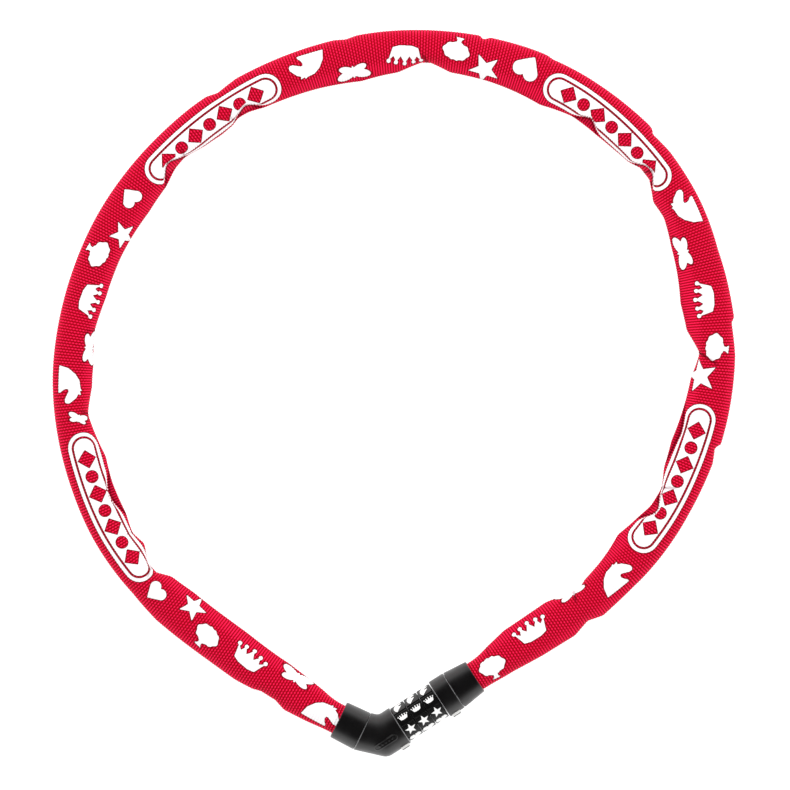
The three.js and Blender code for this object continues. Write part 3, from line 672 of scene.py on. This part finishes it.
def add_turned(name, corners, axis, body, node, pale_ends, longest=0.8, sides=128):
    """A turned piece, with a painted highlight on its edges at the given distances along the axis."""
    outline = divided(rounded(corners), longest)
    points = turned(outline, axis, sides)
    edge = painted_edge_highlight(outline, pale_ends)
    piece = add_piece(name, points, CASING, edge=np.broadcast_to(edge[:, None], points.shape[:2]))
    settle(piece, body, "casing_plastic", node)


def painted_edge_highlight(outline, ends):
    """Mask of the painted highlight: 1 on the outer rounded edges at the given places along an outline, and 0 away
    from them.
    """
    off = np.min([np.full(len(outline), np.inf)] + [np.abs(outline[:, 0] - end) for end in ends], axis=0)
    return eased(1.6 - off / EDGE_HIGHLIGHT) * (outline[:, 1] > outline[:, 1].max() - 1.0)


def settle(piece, body, slot, *nodes):
    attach(piece, body)
    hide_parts(*nodes)


def add_caps():
    """The two sleeve caps and the collar."""
    def cap(start, mouth, root, tip, bore=9.0, wall=1.8):
        lip = SLEEVE_END_RADIUS + 0.25
        outside = [(start, root - 0.05, 0.28), (start + 0.9, root, 0), (mouth - 1.2, tip, 0.3)]
        rim = [(mouth, tip - 0.12, 0.45), (mouth, lip, 0.3), (mouth - wall, lip, 0)]
        inside = [(mouth - wall, bore, 0), (start + wall, bore, 0)]
        back = [(start + wall, CAP_THROAT, 0), (start, CAP_THROAT, 0)]
        return outside + rim + inside + back

    chain_cap = cap(CHAIN_CAP_FROM - 0.1, CHAIN_CAP_TO, 10.75, 10.4)
    add_turned("chain_cap_shell", chain_cap, CHAIN_LEG, "lock_body", "chain_cap", [])
    plug_cap = cap(PLUG_CAP_FROM, PLUG_CAP_TO, 10.75, 9.5)
    add_turned("plug_cap_shell", plug_cap, LOCK_AXIS, "plug", "plug_cap", [])
    step = COLLAR_TO - 5
    collar = [
        (COLLAR_FROM, COLLAR_BORE, 0), (COLLAR_FROM, BODY_RADIUS, 0.35),
        (COLLAR_TO, BODY_RADIUS - 0.1, 0.35), (COLLAR_TO, CAP_THROAT, 0),
        (step, CAP_THROAT, 0), (step, COLLAR_BORE, 0),
    ]
    add_turned("collar_shell", collar, LOCK_AXIS, "lock_body", "collar", [COLLAR_FROM, COLLAR_TO])


def cornered(start, ahead, end, end_ahead, fillet, steps):
    """A line from a start, turning through a fillet into a second line that reaches an end."""
    gap = end - start
    across = ahead[0] * end_ahead[1] - ahead[1] * end_ahead[0]
    reach = (gap[0] * end_ahead[1] - gap[1] * end_ahead[0]) / across
    corner = start + ahead * reach
    turn = math.acos(ahead @ end_ahead)
    back = fillet * math.tan(turn / 2)
    side = np.cross(UP, ahead)
    centre = corner - ahead * back + side * fillet
    turns = np.linspace(0, turn, steps[1] + 1)[:, None]
    bend = centre + fillet * (ahead * np.sin(turns) - side * np.cos(turns))
    share = np.linspace(0, 1, steps[0], endpoint=False)[:, None]
    share_after = np.linspace(0, 1, steps[2] + 1)[1:, None]
    return np.vstack([start + (bend[0] - start) * share, bend, bend[-1] + (end - bend[-1]) * share_after])


def add_elbow():
    """The mitred elbow, with a small raised rounded frame of dots on its top."""
    steps = (44, 24, 44)
    sides = 276
    edge_radius = 0.35
    seam = CORNER + CHAIN_LEG * ELBOW_LEG
    ahead = heading(ELBOW_RUN_DEG)
    leg_side = -np.cross(UP, CHAIN_LEG)
    lock_side = np.cross(UP, LOCK_AXIS)
    finish = CORNER + LOCK_AXIS * ELBOW_REACH
    rims = []
    for way, fillet in ((1, ELBOW_INNER_FILLET), (-1, ELBOW_OUTER_FILLET)):
        start, end = seam + leg_side * way * (BODY_RADIUS - 0.1), finish + lock_side * way * BODY_RADIUS
        rims.append(cornered(start, ahead, end, LOCK_AXIS, fillet, steps))
    middles = (rims[0] + rims[1]) / 2
    across = (rims[0] - rims[1]) / 2
    half = np.linalg.norm(across, axis=1)
    from_end = np.minimum(
        np.linalg.norm(middles - middles[0], axis=1), np.linalg.norm(middles - middles[-1], axis=1)
    )
    past_edge = np.clip(edge_radius - from_end, 0, edge_radius)
    rounding = edge_radius - np.sqrt(edge_radius**2 - past_edge**2)
    angles = np.arange(sides) * 2 * math.pi / sides
    cos, sin = np.cos(angles)[None, :, None], np.sin(angles)[None, :, None]

    def ring(rows, wide, high):
        unit = (across[rows] / half[rows][:, None])[:, None]
        wide, high = wide[:, None, None], high[:, None, None]
        return middles[rows][:, None] + unit * cos * wide + UP * sin * high

    everywhere = np.arange(len(middles))
    outside = ring(everywhere, half - rounding, BODY_RADIUS - rounding)
    outside = outside + UP * (embossed(outside) * (sin > 0.2)[:, :, 0])[:, :, None]
    back = everywhere[::-1][::6]
    bore = np.full(len(back), ELBOW_BORE)
    points = np.concatenate([outside, ring(back, bore, bore)])
    # painted highlight on the rounded edges at both ends of the elbow
    wear_and_edge_highlight = np.concatenate([eased(1.6 - from_end / EDGE_HIGHLIGHT), np.zeros(len(back))])
    wear_and_edge_highlight = np.broadcast_to(wear_and_edge_highlight[:, None], points.shape[:2])
    piece = add_piece("elbow_shell", points, CASING, edge=wear_and_edge_highlight)
    settle(piece, "lock_body", "casing_plastic", "elbow_housing")


def embossed(points):
    """Height of the raised mark: a rounded frame along the lock with a row of dots in it."""
    from_corner = points - CORNER
    x = from_corner @ LOCK_AXIS - MARK_AT[0]
    y = from_corner @ np.cross(UP, LOCK_AXIS) - MARK_AT[1]
    rim = 1.5 - np.hypot(np.maximum(np.abs(x) - 5.3, 0), y)
    dots = joined(*(disc(x, y, place, 0, 0.5) for place in (-4, -2, 0, 2, 4)))
    return MARK_HEIGHT * raised(joined(0.25 - np.abs(rim), dots), 0.15)


# Each face's symbol, its size, and how far above the middle of the face it sits.
DIAL_SYMBOLS = [
    (heart, 0.63, 1.2), (star, 0.42, 0.6), (crown, 0.29, 0.7), (horse, 0.34, 0.1),
    (butterfly, 0.36, 0.3), (tree, 0.46, 0.3), (flower, 0.5, 0.0), (moon, 0.5, 0.0),
]


def dial_radius(turn):
    """The dial's outside: eight faces, a little crowned, with a groove between them."""
    face = 2 * math.pi / DIAL_FACES
    local = (turn + face / 2) % face - face / 2
    flat = DIAL_FLAT / np.cos(local)
    crowned = np.minimum(0.5 * flat + 0.5 * DIAL_ROUND, DIAL_REACH)
    to_edge = (face / 2 - np.abs(local)) * 10.3
    groove = DIAL_GROOVE_DEPTH * np.exp(-((to_edge / DIAL_GROOVE_WIDTH) ** 2))
    return crowned - groove, local


def add_dials():
    sides = DIAL_FACES * 64
    turn = np.arange(sides) * 2 * math.pi / sides
    radius, local = dial_radius(turn)
    face_number = np.round(turn / (2 * math.pi / DIAL_FACES)).astype(int) % DIAL_FACES
    for dial in range(1, DIAL_COUNT + 1):
        start = DIALS_FROM + (dial - 1) * DIAL_PITCH
        near_side = [(0, DIAL_BORE, 0), (0, DIAL_RADIUS, 0.3)]
        far_side = [(DIAL_WIDTH, DIAL_RADIUS, 0.3), (DIAL_WIDTH, DIAL_BORE, 0)]
        outline = divided(rounded(near_side + far_side), 0.13)
        top = outline[:, 1] > DIAL_RADIUS - 0.35
        share = (outline[:, 1] - DIAL_BORE) / (DIAL_RADIUS - DIAL_BORE)
        radii = DIAL_BORE + share[:, None] * (radius - DIAL_BORE)[None, :]
        y = np.broadcast_to(local * 10.1, radii.shape)
        x = np.broadcast_to(outline[:, :1] - DIAL_WIDTH / 2, radii.shape)
        inked = np.full(radii.shape, NO_PRINT)
        for number, (symbol, size, rise) in enumerate(DIAL_SYMBOLS):
            there = face_number == number
            drawn = placed(symbol, x[:, there], y[:, there] - rise, size)
            inked[:, there] = np.where(top[:, None], drawn, NO_PRINT)
        radii = radii + SYMBOL_HEIGHT * raised(inked, 0.16)
        # turn 0 faces the code line, and turning goes on over the top of the lock
        angle = math.radians(CODE_LINE_DEG) + math.pi / 2
        spokes = np.cross(UP, LOCK_AXIS) * np.cos(angle - turn)[:, None]
        spokes = spokes + UP * np.sin(angle - turn)[:, None]
        middles = CORNER + np.outer(start + outline[:, 0], LOCK_AXIS)
        points = middles[:, None] + radii[:, :, None] * spokes[None]
        piece = add_piece(f"dial_{dial}_face", points, DIAL_BLACK, print=inked)
        settle(piece, f"dial_{dial}", "dial_plastic", f"dial_ring_{dial}")


# ---------------------------------------------------------------- chain

def link_points(length_steps=20, bend_steps=14, sides=20):
    """A link about its own middle: square wire with worn corners, bent to an oval and butt-welded."""
    pitch = np.linalg.norm(PIVOTS[1] - PIVOTS[0])
    bend = (LINK_INNER_WIDTH + WIRE) / 2
    straight = (pitch + LINK_PLAY + WIRE) / 2 - bend
    along = np.linspace(-straight, straight, length_steps, endpoint=False)
    turns = np.linspace(-math.pi / 2, math.pi / 2, bend_steps, endpoint=False)
    bottom = np.stack([along, np.full(length_steps, -bend)], 1)
    right = np.stack([straight + bend * np.cos(turns), bend * np.sin(turns)], 1)
    path = np.vstack([bottom, right, -bottom, -right])
    ahead = np.roll(path, -1, 0) - np.roll(path, 1, 0)
    ahead /= np.linalg.norm(ahead, axis=1)[:, None]
    across = np.stack([ahead[:, 1], -ahead[:, 0]], 1)
    angle = (np.arange(sides) + 0.5) * 2 * math.pi / sides
    square = (np.abs(np.cos(angle)) ** 5 + np.abs(np.sin(angle)) ** 5) ** (-1 / 5) * WIRE / 2
    weld = 1 + 0.09 * np.exp(-((path[:, 0] / 1.3) ** 2)) * (path[:, 1] < 0)
    slim = 0.97  # a little under size, which keeps the links clear of each other
    radius = weld[:, None] * square[None, :] * slim
    points = np.zeros((len(path), sides, 3))
    points[:, :, :2] = path[:, None] + across[:, None] * (radius * np.cos(angle))[:, :, None]
    points[:, :, 2] = radius * np.sin(angle)
    return points


def add_links():
    shape = link_points()
    for number in range(1, LINK_COUNT + 1):
        start, end = PIVOTS[number - 1], PIVOTS[number]
        along = (end - start) / np.linalg.norm(end - start)
        side = np.cross(UP, along)
        side /= np.linalg.norm(side)
        up = np.cross(along, side)
        tilt = math.radians(45 if number % 2 else -45)
        leaning_side = side * math.cos(tilt) + up * math.sin(tilt)
        leaning_up = up * math.cos(tilt) - side * math.sin(tilt)
        points = (start + end) / 2 + shape @ np.stack([along, leaning_side, leaning_up])
        piece = add_piece(f"steel_link_{number:02d}", points, HARD_STEEL)
        settle(piece, f"link_{number:02d}", "hard_steel", f"chain_link_{number:02d}")


# ---------------------------------------------------------------- sleeve

def smoothed(values, width):
    """Running average of values, with a bell of the given width in samples."""
    reach = int(3 * width)
    bell = np.exp(-(np.arange(-reach, reach + 1) / width) ** 2 / 2)
    padded = np.pad(values, reach, mode="edge")
    return np.convolve(padded, bell / bell.sum(), mode="valid")


def edge_along(at, edge, softness):
    """Width of the sleeve beside the chain at each place, from a list of (place, width)."""
    sample = 0.5
    fine = np.arange(0, LOOP_LENGTH, sample)
    places, widths = zip(*edge)
    return np.interp(at, fine, smoothed(np.interp(fine, places, widths), softness / sample))


def bells(at, places):
    return sum(size * np.exp(-(((at - place) / reach) ** 2) * 2) for place, reach, size in places)


def fold_lines(at, lateral, inner):
    """The tuck's width at each place, how far past its lip and how deep in a crease each point lies."""
    tuck = bells(at, [one[:3] for one in TUCKS])[:, None]
    past_lip = -lateral - (inner - tuck)
    crease = np.zeros(lateral.shape)
    for place, lean, end, depth in CREASES:
        rows = np.abs(at - place) < CREASE_REACH
        across = lateral[rows] + edge_along(np.array([place]), INNER_EDGE, INNER_SOFTNESS)
        off_line = at[rows][:, None] - place - lean * across
        fade = np.clip((end - lateral[rows]) / CREASE_FADE, 0, 1)
        crease[rows] += depth * fade * np.exp(-((off_line / CREASE_WIDTH) ** 2))
    return tuck, past_lip, crease


def tucked_cloth(at, tuck, past_lip):
    """How much cloth has gone under the lip before each point."""
    weights = np.array([bells(at, [(place, reach, 1.0)]) for place, reach, _, _ in TUCKS]) + 1e-9
    cloth = (weights * np.array([one[3] for one in TUCKS])[:, None]).sum(0) / weights.sum(0)
    return cloth[:, None] * eased(past_lip / LIP_ROLL + 0.5) * np.clip(tuck / 0.8, 0, 1)


def eased(share):
    share = np.clip(share, 0, 1)
    return share * share * (3 - 2 * share)


def sleeve_surface(at, angle):
    """Points of the sleeve's smooth outer surface, for places along it and angles round it.

    Angle 0 is the outer side of the loop and a quarter turn is its top. The cloth that each point's
    tuck takes up, and its painted shade (a dark line at each lip, darker cloth past it, in creases
    and low on the sides), come with the points."""
    centre, out, up = loop_frame(at)
    closed = eased(np.minimum(at - CHAIN_MOUTH, PLUG_MOUTH - at) / SLEEVE_CLOSING)[:, None]
    outer = np.maximum(edge_along(at, OUTER_EDGE, OUTER_SOFTNESS), LEAST_SIDE)[:, None]
    inner = np.maximum(edge_along(at, INNER_EDGE, INNER_SOFTNESS), LEAST_SIDE)[:, None]
    cos, sin = np.cos(angle)[None, :], np.sin(angle)[None, :]
    slack = np.clip((inner - 7) / 9, 0, 1)
    width = np.where(cos > 0, outer, inner)
    point = np.where(cos > 0, 1.05, 0.95 + 0.75 * slack)
    height = np.where(sin > 0, SLEEVE_HALF_HEIGHT + 0.6 * (1 - slack), SLEEVE_SAG)
    lateral = width * cos
    rise = height * np.sign(sin) * np.abs(sin) ** point
    inner_side = np.clip(-cos, 0, 1)
    # slow wrinkles that lean across the sleeve
    ripple = 0.22 * np.sin(at[:, None] / 6.1 + 2.1 * cos)
    ripple = ripple + 0.16 * np.sin(at[:, None] / 3.7 - 3.0 * cos + 1.0)
    rise = rise + ripple * np.abs(sin) * (sin > 0) * (0.4 + inner_side)
    # tucks and creases lower the top layer, but not into the chain
    tuck, past_lip, crease = fold_lines(at, lateral, inner)
    top = sin > 0
    dropped = eased(past_lip / LIP_WIDTH + 0.5) * np.clip(tuck / 1.5, 0, 1) * top
    clear = np.interp(np.abs(lateral), CLEAR_PLACES, CLEAR_HEIGHTS)
    floor_rise = np.minimum(rise, np.maximum(clear, 0.12 * rise))
    swell = 0.35 * np.exp(-(((past_lip + 1.3) / 1.1) ** 2)) * np.clip(tuck / 1.5, 0, 1) * top
    rise = np.maximum(rise - LIP_STEP * dropped - crease * top, floor_rise) + swell
    # painted shade: a dark line at each lip, darker cloth past it, darker creases and darker low sides
    lip_shade = np.exp(-(((past_lip - 0.5) / 0.38) ** 2)) * np.clip(tuck - 0.4, 0, 1) * top
    under_lip_shade = 0.25 * np.exp(-np.clip(past_lip - 0.5, 0, None) / 1.5) * dropped
    side_shade = 0.4 * np.exp(-((rise / 1.2) ** 2))
    shade = np.clip(lip_shade + under_lip_shade + 0.9 * crease * top + side_shade, 0, 1)
    round_lateral, round_rise = SLEEVE_END_RADIUS * cos, SLEEVE_END_RADIUS * sin
    lateral = round_lateral + (lateral - round_lateral) * closed
    rise = round_rise + (rise - round_rise) * closed
    points = centre[:, None] + out[:, None] * lateral[:, :, None] + up[:, None] * rise[:, :, None]
    return points, tucked_cloth(at, tuck, past_lip) * top, shade * closed


def surface_normals(points):
    """Unit normals of a grid that is closed round its columns, pointing out."""
    along = np.gradient(points, axis=0)
    around = np.roll(points, -1, 1) - np.roll(points, 1, 1)
    normals = np.cross(around, along)
    return normals / np.linalg.norm(normals, axis=2)[:, :, None]


def printed(at, around):
    """How far inside a printed shape each point lies; around is measured out from the sleeve's top."""
    inked = np.full(around.shape, NO_PRINT)
    for shape, middle, out, size, degrees in PRINTS:
        rows = np.abs(at - middle) < (PANEL_HALF_LENGTH + 1 if shape is panel else MOTIF_REACH)
        if rows.any():
            x = np.broadcast_to(middle - at[rows][:, None], around[rows].shape)
            y = out - around[rows]
            inked[rows] = np.maximum(inked[rows], placed(shape, x, y, size, degrees))
    return inked


def sleeve_cuts():
    """Places where the sleeve is cut into pieces, one piece for each chain pivot."""
    start, end = CHAIN_MOUTH - SLEEVE_IN_CAP, PLUG_MOUTH + SLEEVE_IN_CAP
    middles = (PIVOT_AT[1:] + PIVOT_AT[:-1]) / 2
    first, last = PIVOT_AT[1] - END_PIECE_GAP, PIVOT_AT[-2] + END_PIECE_GAP
    return np.concatenate([[start, first], middles[1:-1], [last, end]])


def add_sleeve():
    """The sleeve, in pieces, one for each chain pivot."""
    cuts = sleeve_cuts()
    for number in range(len(cuts) - 1):
        low, high = cuts[number], cuts[number + 1]
        piece = sleeve_piece(f"sleeve_{number + 1:02d}", low, high)
        start, end = blend_places(number, low, high)
        ends = loop_frame(np.array([start, end]))[0] * MM
        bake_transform(piece)
        if number == 0:
            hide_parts("fabric_sleeve")


def sleeve_piece(name, low, high):
    """A length of ribbed cloth with its lining, printed on top."""
    angle = np.arange(COLUMNS) * 2 * math.pi / COLUMNS
    top_column = COLUMNS // 4
    rows = math.ceil((high - low) / RIB_PITCH * ROWS_PER_RIB) + 1
    margin = 1  # rows past either end, for the surface's slope there
    step = (high - low) / (rows - 1)
    at = low + step * np.arange(-margin, rows + margin)
    smooth, taken, shade = sleeve_surface(at, angle)
    normals = surface_normals(smooth)
    arcs = np.linalg.norm(np.roll(smooth, -1, 1) - smooth, axis=2)
    around = np.concatenate([np.zeros((len(at), 1)), np.cumsum(arcs, 1)], 1)
    around = around[:, top_column : top_column + 1] - around
    around[:, :-1] -= taken
    rib = np.cos(2 * math.pi * at / RIB_PITCH)[:, None]
    row_shift = math.pi * np.round(at / RIB_PITCH)[:, None]
    warp = np.cos(2 * math.pi * around[:, :-1] / WARP_PITCH + row_shift)
    ribbed = smooth + normals * (RIB_HEIGHT * rib * (0.85 + 0.15 * warp))[:, :, None]
    shading = surface_normals(ribbed)
    keep = slice(margin, rows + margin)
    inked = printed(at, around[:, :-1])
    lining_rows = np.unique(np.linspace(0, rows - 1, 9).round().astype(int))[::-1] + margin
    lining = smooth[lining_rows] - normals[lining_rows] * SLEEVE_WALL
    weave_at = np.broadcast_to(at[:, None] / RIB_PITCH, around.shape)
    weave = np.stack([weave_at, around / WARP_PITCH], 2)
    return add_piece(
        name,
        np.concatenate([ribbed[keep], lining]),
        NYLON,
        normals=np.concatenate([shading[keep], -normals[lining_rows]]),
        weave=np.concatenate([weave[keep], weave[lining_rows]]),
        print=np.concatenate([inked[keep], np.full(lining.shape[:2], NO_PRINT)]),
        # painted shade, stored for the cloth's colour
        fold=np.concatenate([shade[keep], np.zeros(lining.shape[:2])]),
    )


def blend_places(number, low, high):
    """Two places a little in from a piece of sleeve's cuts, or at a cap's mouth for the end pieces."""
    ease = 0.06 * (high - low)
    start, end = low + ease, high - ease
    if number == 0:
        start = CHAIN_MOUTH + 0.3
    if number == LINK_COUNT:
        end = PLUG_MOUTH - 0.3
    return start, end


# ---------------------------------------------------------------- CAD pieces that stay

def finish_cad_nodes():
    """Gives every CAD piece its material, and a fine bevel to those that stay in sight."""
    slots = {part["node"]: part["material_slot"] for part in frame["record"]["subparts"]}
    for name, node in frame["nodes"].items():
        node.data.materials.clear()
        node.data.materials.append(SLOT_MATERIALS[slots[name]])
        if node.hide_render:
            continue
        weld = node.modifiers.new("merge", "WELD")
        weld.merge_threshold = 0.002 * MM
        bevel = node.modifiers.new("worn_edges", "BEVEL")
        bevel.width = 0.12 * MM
        bevel.segments = 2
        bevel.limit_method = "ANGLE"
        bevel.angle_limit = math.radians(30)
        bevel.harden_normals = True


# ---------------------------------------------------------------- stage

def add_stage():
    """A plain pale floor, soft light from all round, a key that leaves no glare, and the camera."""
    bpy.ops.mesh.primitive_plane_add(size=6)
    floor = bpy.context.object
    floor.name = "floor"
    nodes = Nodes("floor", (0.5, 0.5, 0.5), 0.9)
    nodes.set("Emission Color", (1, 1, 1, 1))
    nodes.set("Emission Strength", FLOOR_GLOW)
    floor.data.materials.append(nodes.material)
    add_surroundings()

    key = bpy.data.lights.new("key", "AREA")
    key.energy = 13.5
    key.size = 0.9
    lamp = bpy.data.objects.new("key", key)
    lamp.location = (0.1, 1.0, 1.5)
    lamp.rotation_euler = (-Vector(lamp.location)).to_track_quat("-Z", "Y").to_euler()
    lamp.visible_glossy = False
    bpy.context.scene.collection.objects.link(lamp)

    camera = bpy.data.cameras.new("camera")
    camera.lens = 180
    camera.clip_end = 20
    view_width, view_middle = 0.4266, (0.0012, -0.00165)
    height = view_width * camera.lens / camera.sensor_width
    eye = bpy.data.objects.new("camera", camera)
    eye.location = (*view_middle, height)
    bpy.context.scene.collection.objects.link(eye)
    bpy.context.scene.camera = eye
    bpy.context.scene.view_settings.view_transform = "Standard"


def add_surroundings():
    """Even light for surfaces; what shiny surfaces mirror is bright low down and dark overhead."""
    world = bpy.data.worlds.new("studio")
    bpy.context.scene.world = world
    world.use_nodes = True
    tree = world.node_tree
    background = tree.nodes["Background"]
    background.inputs["Color"].default_value = (1, 1, 1, 1)
    place = tree.nodes.new("ShaderNodeTexCoord")
    split = tree.nodes.new("ShaderNodeSeparateXYZ")
    tree.links.new(place.outputs["Generated"], split.inputs[0])
    mirrored_strength = tree.nodes.new("ShaderNodeMapRange")
    mirrored_strength.interpolation_type = "SMOOTHSTEP"
    heights, strengths = (0.05, 0.7), (1.5, 0.03)
    for socket, value in zip(list(mirrored_strength.inputs)[1:], heights + strengths):
        socket.default_value = value
    tree.links.new(split.outputs[2], mirrored_strength.inputs[0])
    ray = tree.nodes.new("ShaderNodeLightPath")
    choose = tree.nodes.new("ShaderNodeMix")
    tree.links.new(ray.outputs["Is Glossy Ray"], choose.inputs[0])
    choose.inputs[2].default_value = WORLD_LIGHT
    tree.links.new(mirrored_strength.outputs[0], choose.inputs[3])
    tree.links.new(choose.outputs[0], background.inputs["Strength"])


add_elbow()
add_caps()
add_dials()
add_links()
add_sleeve()
finish_cad_nodes()
add_stage()
